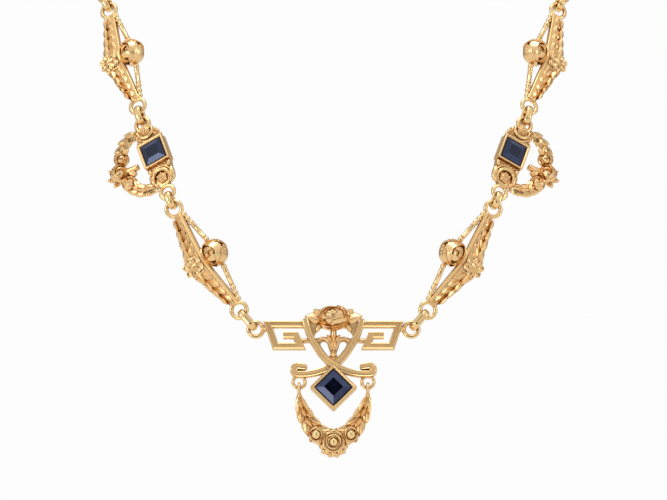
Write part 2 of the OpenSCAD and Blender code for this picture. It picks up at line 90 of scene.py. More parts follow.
def setInputs(tree, node, inputs):  # a socket given as an input is linked, a value is set
    for key, value in inputs.items():
        if isinstance(value, bpy.types.NodeSocket):
            tree.links.new(value, node.inputs[key])
        else:
            node.inputs[key].default_value = value


def addNode(tree, kind, inputs=None, **settings):
    node = tree.nodes.new(kind)
    for key, value in settings.items():
        setattr(node, key, value)
    setInputs(tree, node, inputs or {})
    return node


def mapped(tree, value, low, high, toLow=0.0, toHigh=1.0, **settings):  # one range of values turned into another
    return addNode(tree, "ShaderNodeMapRange", {"Value": value, "From Min": low, "From Max": high,
                                                "To Min": toLow, "To Max": toHigh}, **settings).outputs["Result"]


def blended(tree, share, first, second):  # each colour is a hex code or a socket
    first, second = (linearColour(colour) if isinstance(colour, str) else colour for colour in (first, second))
    return addNode(tree, "ShaderNodeMix", {0: share, 6: first, 7: second}, data_type="RGBA").outputs[2]


def noisy(tree, place, scale, detail):
    return addNode(tree, "ShaderNodeTexNoise", {"Vector": place, "Scale": scale, "Detail": detail}).outputs["Fac"]


def pointing(tree, aim, way):  # how far one direction points along another
    return addNode(tree, "ShaderNodeVectorMath", {0: aim, 1: way}, operation="DOT_PRODUCT").outputs["Value"]


# Studio: white surround, bright above, darker low and behind, with the dark of the camera's side

studio = {
    "backdrop": "#FDFDFD",
    # brightness of what is mirrored, from straight below to straight above
    "heights": [(0.0, 0.20), (0.28, 0.22), (0.42, 0.42), (0.52, 0.66), (0.75, 0.74), (1.0, 0.90)],
    "heightGain": 1.09,
    "behind": 0.55, "behindFade": (-0.1, 0.6),  # how bright the far side is beside the near side, and where it fades
    # two darks on the camera's side and a low bright card on the left: direction, the cosines between which it
    # fades in, and level
    "patches": [((0.0, -1.0, 0.06), 0.962, 0.980, 0.04), ((0.0, -0.866, 0.5), 0.988, 0.996, 0.04),
                ((-0.51, -0.86, -0.065), 0.984, 0.993, 7.0)],
    "lampAim": (0, -50, -60), "floorHeight": -200.0, "floorRadius": 800.0,  # mm
}

world = bpy.data.worlds.new("studio")
world.use_nodes = True
bpy.context.scene.world = world
tree = world.node_tree
tree.nodes.clear()
aim = addNode(tree, "ShaderNodeTexCoord").outputs["Generated"]
axes = addNode(tree, "ShaderNodeSeparateXYZ", {0: aim})
sky = addNode(tree, "ShaderNodeValToRGB", {"Fac": mapped(tree, axes.outputs["Z"], -1.0, 1.0)})
stops = sky.color_ramp.elements
stops.remove(stops[-1])
for i, (place, level) in enumerate(studio["heights"]):
    stop = stops.new(place) if i else stops[0]
    stop.position, stop.color = place, (level, level, level, 1)
shade = mapped(tree, axes.outputs["Y"], *studio["behindFade"], 1.0, studio["behind"], interpolation_type="SMOOTHSTEP")
patches = [mapped(tree, pointing(tree, aim, Vector(patchAim).normalized()), fadeFrom, fadeTo, 1.0, level,
                  interpolation_type="SMOOTHSTEP") for patchAim, fadeFrom, fadeTo, level in studio["patches"]]
for factor in [*patches, studio["heightGain"]]:
    shade = addNode(tree, "ShaderNodeMath", {0: shade, 1: factor}, operation="MULTIPLY").outputs[0]
surround = addNode(tree, "ShaderNodeBackground", {"Color": sky.outputs["Color"], "Strength": shade})
backdrop = addNode(tree, "ShaderNodeBackground", {"Color": linearColour(studio["backdrop"])})
seen = addNode(tree, "ShaderNodeLightPath").outputs["Is Camera Ray"]
mix = addNode(tree, "ShaderNodeMixShader", {0: seen, 1: surround.outputs[0], 2: backdrop.outputs[0]})
addNode(tree, "ShaderNodeOutputWorld", {"Surface": mix.outputs[0]})

softboxes = {  # place in mm, width and height in mm, power in watts
    "topBox": ((-60, -60, 520), (420, 300), 1.1),
    "leftBox": ((-600, -380, 160), (160, 300), 0.5),
    "rightBox": ((620, -300, 60), (140, 420), 0.3),
}
for name, (at, size, power) in softboxes.items():
    light = bpy.data.lights.new(name, "AREA")
    light.shape = "RECTANGLE"
    light.size, light.size_y = size[0] * mm, size[1] * mm
    light.energy = power
    lamp = addObject(name, light)
    lamp.location = Vector(at) * mm
    lamp.rotation_euler = (Vector(studio["lampAim"]) * mm - lamp.location).to_track_quat("-Z", "Y").to_euler()

floorMesh = bpy.data.meshes.new("floor")
reach, height = studio["floorRadius"] * mm, studio["floorHeight"] * mm
rim = [(reach * math.cos(a), reach * math.sin(a), height) for a in wholeTurn(96)]
floorMesh.from_pydata(rim, [], [list(range(len(rim)))])
floor = addObject("floor", floorMesh)
paper, tree, shader = newMaterial("photoPaper")  # matt white sweep paper: even, no shine
setInputs(tree, shader, {"Base Color": linearColour("#F6F5F2"), "Roughness": 0.9})
floorMesh.materials.append(paper)
print("studio ready")

# Metals and stones

# each finish's recess colour and its share are painted shade, mixed into the base colour in the hollows
goldFinishes = {
    # scratch-brushed yellow gold: a soft broad sheen with fine streaks along the bar
    "satinGold": {
        "light": "#F8D8A4", "deep": "#E4B572", "roughness": (0.26, 0.40), "grain": 0.10, "bump": 0.14,
        "stretch": (0.16, 1.0, 1.0), "recess": "#94561A", "crevice": 0.75},
    # buffed yellow gold: mirror-like, with sharp light and dark reflections
    "polishedGold": {
        "light": "#F9D9A2", "deep": "#F0C889", "roughness": (0.07, 0.15),
        "grain": 0.35, "bump": 0.02, "recess": "#94561A", "crevice": 0.75},
    # cast and chased yellow gold: smooth raised parts, soft grain and painted shade darkening the recesses
    "castGold": {
        "light": "#FAD8A4", "deep": "#EABB7C", "roughness": (0.13, 0.26),
        "grain": 0.3, "bump": 0.05, "recess": "#9C5E20", "crevice": 0.85},
    # the same metal chased and burnished on the open rose and the rose balls, whose hollows get only a light painted
    # shade
    "chasedGold": {
        "light": "#FAD8A4", "deep": "#F0C489", "roughness": (0.18, 0.30),
        "grain": 0.4, "bump": 0.04, "recess": "#B57C3C", "crevice": 0.5},
}

goldWearAndPaintedShade = {"cloud": 0.55, "cloudFade": (0.3, 0.7),  # dull patches per mm, and the noise over which they fade
            "recess": 0.75, "recessFade": (0.25, 0.92), "bump": 0.05}  # painted shade's reach and the bump's depth in mm, and the open share of the sky over which the painted shade fades


def makeGold(name, look, onCad=False):
    gold, tree, shader = newMaterial(name)
    if onCad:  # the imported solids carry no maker's coordinates, so theirs are metres turned to millimetres
        source, toMm = addNode(tree, "ShaderNodeTexCoord").outputs["Object"], 1 / mm
    else:
        source, toMm = addNode(tree, "ShaderNodeAttribute", attribute_name="grain").outputs["Vector"], 1.0
    scale = [s * toMm for s in look.get("stretch", (1.0, 1.0, 1.0))]
    place = addNode(tree, "ShaderNodeMapping", {"Vector": source, "Scale": scale}).outputs[0]
    grain = noisy(tree, place, 1 / look["grain"], 3.0)
    rough = mapped(tree, noisy(tree, place, goldWearAndPaintedShade["cloud"], 2.0), *goldWearAndPaintedShade["cloudFade"], *look["roughness"])
    # painted shade: where ambient occlusion finds the metal hemmed in, the base colour darkens toward the recess colour
    hollow = addNode(tree, "ShaderNodeAmbientOcclusion", {"Distance": goldWearAndPaintedShade["recess"] * mm}, samples=8)
    paintedShadeMask = mapped(tree, hollow.outputs["AO"], *goldWearAndPaintedShade["recessFade"], look["crevice"], 0.0)
    tint = blended(tree, paintedShadeMask, blended(tree, grain, look["light"], look["deep"]), look["recess"])
    relief = addNode(tree, "ShaderNodeBump", {"Height": grain, "Strength": look["bump"],
                                              "Distance": goldWearAndPaintedShade["bump"] * mm})
    setInputs(tree, shader, {"Metallic": 1.0, "Base Color": tint, "Roughness": rough, "Normal": relief.outputs[0]})
    return gold


satinGold, polishedGold, castGold, chasedGold = (makeGold(name, look) for name, look in goldFinishes.items())
linkGold = makeGold("linkGold", goldFinishes["polishedGold"], onCad=True)
claspGold = makeGold("claspGold", goldFinishes["satinGold"], onCad=True)

# Blue sapphire, step-cut, its light and shade painted into the base colour by which way each facet faces: the table is
# painted dark, as it looks into the dark of the stone; the broad crown steps above and below it are painted light, as
# they throw blue light back, those beside it less; and the steep step at the girdle is painted dark
# table, side, bright and girdle are painted light and shade of the facets; depth is the stone's own colour banding
sapphireLook = {"table": "#05070F", "side": "#1A213C", "bright": "#3D4769", "girdle": "#0A0F22", "depth": "#0D1430",
                "sheen": "#C4CFF2", "zone": 1.6}  # zone is the colour banding in mm
sapphireShine = {"Transmission Weight": 0.1, "Specular IOR Level": 0.42, "IOR": 1.77, "Roughness": 0.02}


def makeSapphire(name, face, up):
    look = sapphireLook
    stone, tree, shader = newMaterial(name)
    facet = addNode(tree, "ShaderNodeNewGeometry").outputs["True Normal"]
    facing = pointing(tree, facet, face)
    slope = addNode(tree, "ShaderNodeMath", {0: pointing(tree, facet, up)}, operation="ABSOLUTE").outputs[0]
    # painted light and shade: the base colour follows each facet's direction, light for the crown steps, dark for the
    # table and the girdle step
    crown = blended(tree, mapped(tree, slope, 0.05, 0.42), look["side"], look["bright"])
    lower = blended(tree, mapped(tree, facing, 0.66, 0.78), look["girdle"], crown)
    top = blended(tree, mapped(tree, facing, 0.93, 0.97), lower, look["table"])
    source = addNode(tree, "ShaderNodeTexCoord").outputs["Object"]
    zone = mapped(tree, noisy(tree, source, 1 / (look["zone"] * mm), 1.0), 0.4, 0.7, 0.0, 0.5)
    setInputs(tree, shader, {"Base Color": blended(tree, zone, top, look["depth"]),
                             "Specular Tint": linearColour(look["sheen"]), **sapphireShine})
    return stone


print("materials ready")

# Shapes: each form is points in millimetres, faces and maker's coordinates for the grain


def form(points, faces, grain=None):
    points = np.asarray(points, float).reshape(-1, 3)
    key, back = np.unique(np.round(points, 5), axis=0, return_index=True, return_inverse=True)[1:]
    back = back.reshape(-1)
    clean = []
    for face in faces:
        ring = [int(back[i]) for i in face]
        ring = [v for i, v in enumerate(ring) if v != ring[i - 1]]
        if len(set(ring)) >= 3:
            clean.append(ring)
    grain = points if grain is None else np.asarray(grain, float).reshape(-1, 3)
    points, grain = points[key], grain[key]
    volume = sum(np.dot(points[f[0]], np.cross(points[f[i]], points[f[i + 1]]))
                 for f in clean for i in range(1, len(f) - 1))
    if volume < 0:
        clean = [f[::-1] for f in clean]
    return {"points": points, "faces": clean, "grain": grain}


def moved(shape, at=(0, 0, 0), turn=0, tilt=0, swing=0, scale=(1, 1, 1)):
    # scaled, then rolled about x (tilt), y (swing) and z (turn), then shifted
    roll = rolled(turn, "Z") @ rolled(swing, "Y") @ rolled(tilt, "X")
    return placed(shape, Matrix.Translation(Vector(at)) @ roll @ Matrix.Diagonal((*scale, 1)))


def placed(shape, where):
    turnPart = np.array(where)[:3, :3]
    points = shape["points"] @ turnPart.T + np.array(where)[:3, 3]
    faces = [f[::-1] for f in shape["faces"]] if np.linalg.det(turnPart) < 0 else shape["faces"]
    return {"points": points, "faces": faces, "grain": shape["grain"]}


def flipped(shapes, about=0.0, axis="y"):  # the same shapes mirrored across a line of the face
    way = Vector((axis == "x", axis == "y", 0))
    return [placed(s, Matrix.Translation(2 * about * way) @ Matrix.Scale(-1, 4, way)) for s in shapes]


def bothSides(shapes):
    return shapes + flipped(shapes, axis="x")


def smoothed(path, steps=6):  # a smooth curve through every point
    path = np.asarray(path, float)
    padded = np.vstack([path[:1], path, path[-1:]])
    out = []
    for i in range(len(path) - 1):
        a, b, c, d = padded[i:i + 4]
        for t in np.arange(steps) / steps:
            out.append(0.5 * (2 * b + (c - a) * t + (2 * a - 5 * b + 4 * c - d) * t ** 2
                              + (3 * b - a - 3 * c + d) * t ** 3))
    return np.array(out + [path[-1]])


def unit(v):
    return v / np.linalg.norm(v, axis=-1, keepdims=True)


def waysOf(start, end):  # along and across the line between two points of the face
    way = unit(np.subtract(end, start))
    return way, np.array([-way[1], way[0]])


def gridFaces(rows, cols, closeRows=False, closeCols=False, start=0):
    faces = []
    for i in range(rows if closeRows else rows - 1):
        for j in range(cols if closeCols else cols - 1):
            a, b = start + i * cols, start + (i + 1) % rows * cols
            faces.append([a + j, a + (j + 1) % cols, b + (j + 1) % cols, b + j])
    return faces


def swept(path, section, closed=False, widths=1.0, lifts=0.0):
    # a bar that follows a path on the face; the section is (across, height), mitred at corners
    path, section = np.asarray(path, float)[:, :2], np.asarray(section, float)
    count = len(path)
    if closed:
        before, after = unit(path - np.roll(path, 1, 0)), unit(np.roll(path, -1, 0) - path)
    else:
        legs = unit(np.diff(path, axis=0))
        before, after = np.vstack([legs[:1], legs]), np.vstack([legs, legs[-1:]])
    way = unit(before + after)
    across = np.stack([-way[:, 1], way[:, 0]], 1) / np.sum(way * before, 1, keepdims=True)
    widths, lifts = np.broadcast_to(widths, count), np.broadcast_to(lifts, count)
    flat = path[:, None] + across[:, None] * (widths[:, None] * section[None, :, 0])[..., None]
    rise = lifts[:, None] + section[None, :, 1]
    points = raised(flat, rise)
    run = np.concatenate([[0], np.cumsum(np.linalg.norm(np.diff(path, axis=0), axis=1))])
    grain = np.stack(np.broadcast_arrays(run[:, None], section[None, :, 0], rise), 2)
    sides = len(section)
    faces = gridFaces(count, sides, closeRows=closed, closeCols=True)
    if not closed:
        faces += [list(range(sides)), list(range((count - 1) * sides, count * sides))]
    return form(points, faces, grain)


def turned(profile, start, end, sides=28):  # a lathe form on the line between two points; profile is (along, radius)
    start, end = np.asarray(start, float), np.asarray(end, float)
    way = unit(end - start)
    side = unit(np.cross(way, [0.31, 0.17, 0.94]))
    up = np.cross(way, side)
    angle = wholeTurn(sides)
    points = [start + way * t + r * (math.cos(a) * side + math.sin(a) * up) for t, r in profile for a in angle]
    faces = gridFaces(len(profile), sides, closeCols=True)
    faces += [list(range(sides)), list(range((len(profile) - 1) * sides, len(profile) * sides))]
    grain = [(t, r * a * 2, r) for t, r in profile for a in angle]
    return form(points, faces, grain)


def lathed(profile, at=(0, 0, 0), sides=40):  # turned about the face's own axis; profile is (height, radius)
    return moved(turned(profile, (0, 0, 0), (0, 0, 1), sides), at)


def ball(radius, at, sides=32):
    angles = np.linspace(0, math.pi, sides // 2 + 1)
    return lathed([(-radius * math.cos(a), radius * math.sin(a)) for a in angles], at, sides)


def torus(radius, wire, at=(0, 0, 0), upright=False, sides=72, around=20):
    ring, tube = wholeTurn(sides), [(wire / 2 * math.cos(b), wire / 2 * math.sin(b)) for b in wholeTurn(around)]
    points = [((radius + out) * math.cos(a), (radius + out) * math.sin(a), z) for a in ring for out, z in tube]
    grain = [(a * radius, out, z) for a in ring for out, z in tube]
    shape = form(points, gridFaces(sides, around, True, True), grain)
    return moved(shape, at, swing=90 if upright else 0)


def raised(flat, height):  # points of the face at their heights
    return np.concatenate([flat, height[..., None]], -1)


def shell(outer, inner):  # a closed skin between two grids of points with the same outline
    rows, cols = outer.shape[:2]
    count = rows * cols
    faces = gridFaces(rows, cols) + [f[::-1] for f in gridFaces(rows, cols, start=count)]
    ids = np.arange(count).reshape(rows, cols)
    edge = [*ids[:, 0], *ids[-1, 1:], *ids[-2::-1, -1], *ids[0, -2:0:-1]]
    faces += [[b, a, a + count, b + count] for a, b in zip(edge, edge[1:] + edge[:1])]
    return form(np.concatenate([outer.reshape(-1, 3), inner.reshape(-1, 3)]), faces)


leafOutline = smoothed([(0, 0.42), (0.16, 0.78), (0.4, 1.0), (0.64, 0.88), (0.84, 0.5), (0.95, 0.2), (1, 0)], 5)
leafVeins = {"count": 5, "slope": 0.9, "depth": 0.045, "clear": 0.1, "rib": 0.13}


def leaf(start, end, width, level, camber=0.5, rib=0.16, rise=0.25, curl=0.12, thick=0.28, bow=0.0, cup=0.0):
    # a pointed leaf on the face: cambered blade, raised midrib, side veins and a tip that lifts
    start, end = np.asarray(start, float), np.asarray(end, float)
    run = end - start
    long = np.linalg.norm(run)
    u = 1 - np.cos(np.linspace(0, math.pi / 2, 19)) ** 1.3
    v = np.linspace(-1, 1, 17)
    half = width / 2 * np.interp(u, leafOutline[:, 0], leafOutline[:, 1])
    uu, vv = np.meshgrid(u, v, indexing="ij")
    hh = half[:, None] * np.ones_like(vv)
    share = hh / (width / 2)
    midrib = rib * (1 - 0.55 * uu) * np.exp(-(vv * hh / leafVeins["rib"]) ** 2)
    waves = 0.5 + 0.5 * np.cos(2 * math.pi * (leafVeins["count"] * uu - leafVeins["slope"] * abs(vv)))
    veins = -leafVeins["depth"] * share * waves * (1 - abs(vv)) * (abs(vv) > leafVeins["clear"])
    top = (camber * share ** 0.7 * (1 - abs(vv) ** 2.2) - cup * abs(vv) ** 2 + midrib + veins
           + rise * uu + curl * uu ** 4)
    low = rise * uu + curl * uu ** 4 - thick * (1 - 0.6 * uu)
    flat = np.stack([uu * long, vv * hh + bow * np.sin(math.pi * uu) * long], 2)
    turn = math.degrees(math.atan2(run[1], run[0]))
    return moved(shell(raised(flat, top), raised(flat, low)), (*start, level), turn=turn)


def leafPair(start, way, across, foot, reach, spread, width, level, **look):  # a leaf to each side of a branch
    return [leaf(start + side * foot * across, start + reach * way + side * spread * across, width, level,
                 bow=-side * 0.06, **look) for side in (-1, 1)]


def outward(polar, around):  # the direction at an angle from the z axis and at one round it
    return np.stack([np.sin(polar) * np.cos(around), np.sin(polar) * np.sin(around), np.cos(polar)], -1)


def petal(radius, lip, base, half, thick, flare, turn, skew, tuck, roll):
    # a curved petal wrapped on a ball about the z axis: lip and base are angles from the axis; skew slopes the lip,
    # tuck slides one edge under the next petal, and flare bends the lip outward, the later the higher roll is
    t = np.linspace(0, 1, 12)
    side = np.linspace(-1, 1, 27)
    tt, ss = np.meshgrid(t, side, indexing="ij")
    lipHere = lip + skew * ss + (base - lip) * 0.7 * abs(ss) ** 3.6
    way = outward(np.radians(base + (lipHere - base) * tt), np.radians(turn + half * ss))
    reach = radius * (1 + flare * tt ** roll + tuck * ss)
    depth = thick / 2 * (1 - 0.3 * tt ** 2)
    return shell((reach + depth)[..., None] * way, (reach - depth)[..., None] * way)


def petals(rows, radius, thick, flare, roll):  # rows of share of the radius, lip, base, half width, turn, skew and tuck
    return [petal(radius * row[0], *row[1:4], thick, flare, *row[4:], roll) for row in rows]


def lobe(at, size, turn=0.0):  # a smooth oval knob; size is half its length, width and height
    return moved(ball(1.0, (0, 0, 0), 18), at, turn=turn, scale=size)


def crescent(at, radius, width, low, high, middle, half):  # a half-moon petal that stands round a point of the face
    angles = np.radians(np.linspace(middle - half, middle + half, 31))
    path = np.array(at) + radius * np.stack([np.cos(angles), np.sin(angles)], 1)
    taper = np.sin(np.linspace(0.15, math.pi - 0.15, 31)) ** 0.7
    return swept(path, roundSection(width, low, high), widths=taper, lifts=(taper - 1) * 0.35 * (high - low))


def crescents(at, rows):
    return [crescent(at, *row) for row in rows]


def knobDome(at, radius, level, high):  # a domed floret with small knobs in two rings
    x, y = at
    knob = 0.23 * radius
    shapes = [lathed([(-0.4, 0), (-0.4, radius), (level, radius), (level + 0.5 * high, 0.86 * radius),
                      (level + 0.85 * high, 0.5 * radius), (level + high, 0)], (x, y, 0), 28),
              ball(knob, (x, y, level + high), 14)]
    for count, share, drop in ((6, 0.42, 0.1), (11, 0.8, 0.42)):
        for a in wholeTurn(count):
            size = knob * (1.2 + 0.35 * math.sin(5.3 * a + count))
            shapes.append(ball(size, (x + share * radius * math.cos(a), y + share * radius * math.sin(a),
                                      level + (1 - drop) * high - 0.6 * size), 14))
    return shapes


def dish(long, wide, rim, thick, rings=8, spokes=29):  # a round cupped petal, its edge raised
    rr, aa = np.meshgrid(np.linspace(0, 1, rings), np.linspace(0, 2 * math.pi, spokes), indexing="ij")
    flat = np.stack([long * rr * np.cos(aa), wide * rr * np.sin(aa)], 2)
    top = rim * rr ** 2.5 - 0.35 * rim * rr ** 12
    low = top - thick * (1 - 0.75 * rr ** 3)
    count, last = rr.size, (rings - 1) * spokes
    points = [raised(flat, skin).reshape(-1, 3) for skin in (top, low)]
    faces = gridFaces(rings, spokes) + [f[::-1] for f in gridFaces(rings, spokes, start=count)]
    faces += [[last + j, last + j + 1, last + j + 1 + count, last + j + count] for j in range(spokes - 1)]
    return form(np.concatenate(points), faces)


def petalRing(at, count, first, reach, swing, one):  # cupped petals evenly round a point of the face
    return [moved(moved(one, reach, swing=swing), at, turn=360 * i / count + first) for i in range(count)]


def plate(outline, low, high, holes=()):  # flat sheet cut from an outline, with openings
    loops = [np.asarray(outline, float)] + [np.asarray(h, float) for h in holes]
    points = np.vstack(loops)
    count = len(points)
    faces = [list(f) for f in tessellate_polygon([[Vector((*p, 0)) for p in loop] for loop in loops])]
    a, b, c = points[faces[0]]
    if np.cross(b - a, c - a) < 0:
        faces = [f[::-1] for f in faces]
    faces += [[i + count for i in f[::-1]] for f in faces]
    start = 0
    for k, loop in enumerate(loops):
        size, (x, y) = len(loop), loop.T
        forward = np.sum(x * np.roll(y, -1) - np.roll(x, -1) * y) > 0
        for i in range(size):
            a, b = start + i, start + (i + 1) % size
            quad = [a, a + count, b + count, b]
            faces.append(quad if forward == (k == 0) else quad[::-1])
        start += size
    return form(np.vstack([raised(points, np.full(count, z)) for z in (high, low)]), faces)


def bothEdges(section, *middle):  # a section, its middle and its mirror image
    return section + list(middle) + [(-x, z) for x, z in section[::-1]]


def barSection(width, low, high, bevel, drop):  # flat-topped bar with bevelled edges
    w = width / 2
    return bothEdges([(-w, low), (-w, high - drop), (bevel - w, high)])


def roundSection(width, low, high):  # half-round bar
    w = width / 2
    side = high - min(w, high - low)
    arc = [(-w * math.cos(a), side + (high - side) * math.sin(a)) for a in np.linspace(0, math.pi, 10)]
    return [(-w, low)] + arc + [(w, low)]


endSteps = 6


def roundEnd(path, width):  # adds a rounded end to a path: returns the longer path and its widths
    path = np.asarray(path, float)
    way = unit(path[-1] - path[-2])
    t = np.linspace(0, 1, endSteps + 1)[1:] * 0.98
    longer = np.vstack([path, path[-1] + way * (t * width / 2)[:, None]])
    return longer, np.concatenate([np.ones(len(path)), np.sqrt(1 - t ** 2)])


roseBall = {  # sizes are shares of the ball's radius
    "core": 0.92, "sunk": 0.1, "thick": 0.15, "flare": 0.09, "roll": 5,
    # a small bud, two thick half-moon petals beside it, and smooth petals round the rest
    "petals": [
        (0.86, 7, 40, 150, 60, 5, 0.02), (0.89, 17, 44, 115, -100, 6, 0.02), (1.0, 30, 66, 104, 180, 5, 0.0),
        (0.97, 36, 66, 72, -10, -5, 0.0), (1.0, 55, 108, 66, 118, 7, 0.02), (1.0, 57, 108, 66, -122, 7, 0.02),
        (1.0, 56, 108, 66, -2, 7, 0.02)],
    # rows of small knobs on the far side, as the angle from the axis and those round it
    "knob": 0.1, "knobsAt": 1.02, "knobRows": ((66, range(128, 240, 16)), (84, range(120, 250, 16))),
}


def wrappedBall(at, radius, lean, toward):
    shapes = [ball(radius * roseBall["core"], (0, 0, -roseBall["sunk"] * radius))]
    shapes += petals(roseBall["petals"], radius, roseBall["thick"] * radius, roseBall["flare"], roseBall["roll"])
    for polar, azimuths in roseBall["knobRows"]:
        for a in np.radians(azimuths):
            shapes.append(ball(roseBall["knob"] * radius,
                               roseBall["knobsAt"] * radius * outward(np.radians(polar), a), 12))
    where = Matrix.Translation(Vector(at)) @ rolled(toward, "Z") @ rolled(lean, "Y")
    return [placed(s, where) for s in shapes]


def aimed(at, slant, lean, roll):  # where a piece drawn on its face stands in the frame
    stand = rolled(slant, "Y") @ rolled(-lean, "X") @ rolled(roll, "Z") @ rolled(90, "X")
    return Matrix.Translation(Vector(at)) @ stand


leftSide = Matrix.Scale(-1, 4, Vector((1, 0, 0)))


def addPiece(name, shapes, where, node, finish, body="necklace", sharp=42):
    points, faces, grain, start = [], [], [], 0
    for shape in shapes:
        there = placed(shape, where)
        points.append(there["points"] * mm)
        grain.append(there["grain"])
        faces += [[i + start for i in f] for f in there["faces"]]
        start += len(there["points"])
    mesh = bpy.data.meshes.new(name)
    mesh.from_pydata(np.vstack(points).tolist(), [], faces)
    mesh.attributes.new("grain", "FLOAT_VECTOR", "POINT").data.foreach_set("vector", np.vstack(grain).ravel())
    mesh.shade_smooth()
    mesh.set_sharp_from_angle(angle=math.radians(sharp))
    mesh.materials.append(finish)
    piece = addObject(name, mesh)
    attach(piece, body)
    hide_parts(node)


def addPair(name, node, parts, where):  # a piece on the right and its mirror image on the left
    for side, there in (("Right", where), ("Left", leftSide @ where)):
        for part, (shapes, finish) in parts.items():
            addPiece(name + side + part, shapes, there, node + "_" + side.lower(), finish)


# Where the pieces hang: face frames that lean back with the neck

hang = {
    "plaque": ((0, -62.0, -92.0), 0, 15, 0),
    "lowerLaurel": ((18.9005, -60.9933, -88.1327), 33.3, 16, 10),
    "stoneLink": ((33.6802, -52.1808, -64.3730), 21.4, 28, 16),
    "upperLaurel": ((40.2597, -42.0999, -46.5223), 18.2, 31.4, 16),
    "garland": ((0, -65.1058, -103.5911), 0, 0, 0),
}

sapphirePlaces = {"centre_sapphire": aimed(*hang["plaque"]), "side_sapphire_right": aimed(*hang["stoneLink"]),
                  "side_sapphire_left": leftSide @ aimed(*hang["stoneLink"])}
for name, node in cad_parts.items():
    finish = claspGold if name == "clasp" else linkGold
    if name in sapphirePlaces:
        turnPart = sapphirePlaces[name].to_3x3()
        finish = makeSapphire(name + "_blue", turnPart @ Vector((0, 0, 1)), turnPart @ Vector((0, 1, 0)))
    for slot in node.material_slots:
        slot.material = finish

# Connecting links: upright polished ovals of broad rounded wire, each through two eyelets

joiners = {  # node, length, slant, lean and roll
    "plaqueJoiner": ("plaque_joiner", 5.16, 41, 11, 5), "lowerJoiner": ("lower_joiner", 4.08, 22.5, 26.5, 13),
    "upperJoiner": ("upper_joiner", 4.53, 16, 27.5, 16), "chainJoiner": ("chain_joiner", 4.3, 17, 34, 16),
}
joinerBar = {"depth": 3.4, "thick": 0.84, "broad": 1.42, "round": 0.8}


def ovalLink(long, bar):
    swing, rise = (bar["depth"] - bar["thick"]) / 2, (long - bar["depth"]) / 2
    half = [(swing * math.cos(a), rise + swing * math.sin(a)) for a in np.linspace(0, math.pi, 25)]
    section = [(bar["thick"] / 2 * math.copysign(abs(math.cos(a)) ** bar["round"], math.cos(a)),
                bar["broad"] / 2 * math.copysign(abs(math.sin(a)) ** bar["round"], math.sin(a)))
               for a in wholeTurn(32)]
    return moved(swept(half + [(-x, -y) for x, y in half], section, closed=True), swing=90)


for name, (node, long, slant, lean, roll) in joiners.items():
    at = np.mean([list(corner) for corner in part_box(node + "_right")], axis=0) / mm
    addPair(name, node, {"": ([ovalLink(long, joinerBar)], polishedGold)}, aimed(at, slant, lean, roll))

# Laurel link: broad ridged bar, laurel spray, flower, balusters and a rose ball

laurelLink = {
    "length": 25.3, "eyelet": 1.6, "wire": 0.86,
    "barEnd": (-0.45, 1.5), "barMiddle": (0.72, 12.65),
    # section of the bar as across and height, its broad side under the leaves
    "ridges": [(-1.15, -0.55), (-1.15, 0.5), (-1.06, 0.62), (-0.94, 0.66), (-0.8, 0.58), (-0.34, 0.58), (-0.26, 0.5),
               (-0.18, 0.58), (0.26, 0.58), (0.38, 0.66), (0.5, 0.62), (0.59, 0.5), (0.59, -0.55)],
    # the sheet that backs the leaves, from the eyelet to the middle
    "sheetOut": [(0.9, 1.6), (2.2, 4.4), (3.1, 7.0), (3.9, 11.2), (4.1, 12.65)],
    "sheetIn": [(-0.3, 1.7), (0.85, 11.4), (0.9, 12.65)], "sheet": (-0.5, 0.1),
    "band": [(1.5, 10.95), (4.15, 10.72)], "bandWidth": 0.9,
    "spineTop": (3.0, 11.35), "spineFoot": (0.95, 1.9), "tiers": 4,
    # at each tier a broad leaf whose tip turns outward, and beside the bar a narrower one that laps over it:
    # foot and tip across the spine, how much shorter, width, level, camber, bow and thickness
    "leaves": [(-0.2, -0.95, 0.0, 1.62, 0.08, 0.36, -0.06, 0.28), (0.15, 0.2, 0.3, 0.95, 0.26, 0.42, 0.05, 0.5)],
    "flower": (3.07, 12.65), "petals": 6,
    "ball": (-2.25, 12.65, 0.3), "ballRadius": 2.6,
    "balusterFoot": (-1.0, 1.25, 0.04), "balusterTop": (-2.45, 10.6, 0.04),
    "beads": (0.95, 2.15, 3.35, 8.1), "bead": 0.59, "rod": 0.45,
    "collar": [(0.02, 0.4), (0.12, 0.56), (0.3, 0.56), (0.42, 0.48)],  # at each end of the long rod: along and radius
}


def eyelets(link):
    return [torus(link["eyelet"], link["wire"], (0, y, 0)) for y in (0, link["length"])]


def wholeSide(points, middle):  # one half of an outline and its mirror image beyond the middle
    return points + [(x, 2 * middle - y) for x, y in points[-2::-1]]


def laurelFrame(link):
    middle = link["length"] / 2
    bar = [link["barEnd"], link["barMiddle"], (link["barEnd"][0], link["length"] - link["barEnd"][1])]
    outline = wholeSide(link["sheetOut"], middle) + wholeSide(link["sheetIn"], middle)[::-1]
    band = [swept(link["band"], roundSection(link["bandWidth"], -0.4, 0.72))]
    post = turned([(0, 0.5), (0.3, 0.55), (1.4, 0.55), (1.6, 0.5)], (0.75, middle, 0.15), (-0.9, middle, 0.2))
    return [swept(bar, link["ridges"]), plate(outline, *link["sheet"])] + band + flipped(band, middle) + [post]


def laurelSpray(link):
    top, foot = np.array(link["spineTop"]), np.array(link["spineFoot"])
    way, across = waysOf(top, foot)
    shapes = []
    for k in range(link["tiers"]):
        f = k / link["tiers"]
        start, half, reach = top + 0.98 * f * (foot - top), 1.55 - 0.85 * f, 3.35 - f
        for footAt, tipAt, less, wide, level, camber, bow, thick in link["leaves"]:
            shapes.append(leaf(start + footAt * half * across, start + (reach - less) * way + tipAt * half * across,
                               wide * half, level + 0.04 * k, camber=camber, rise=0.36, rib=0.24, bow=bow, thick=thick))
    return shapes + flipped(shapes, link["length"] / 2)


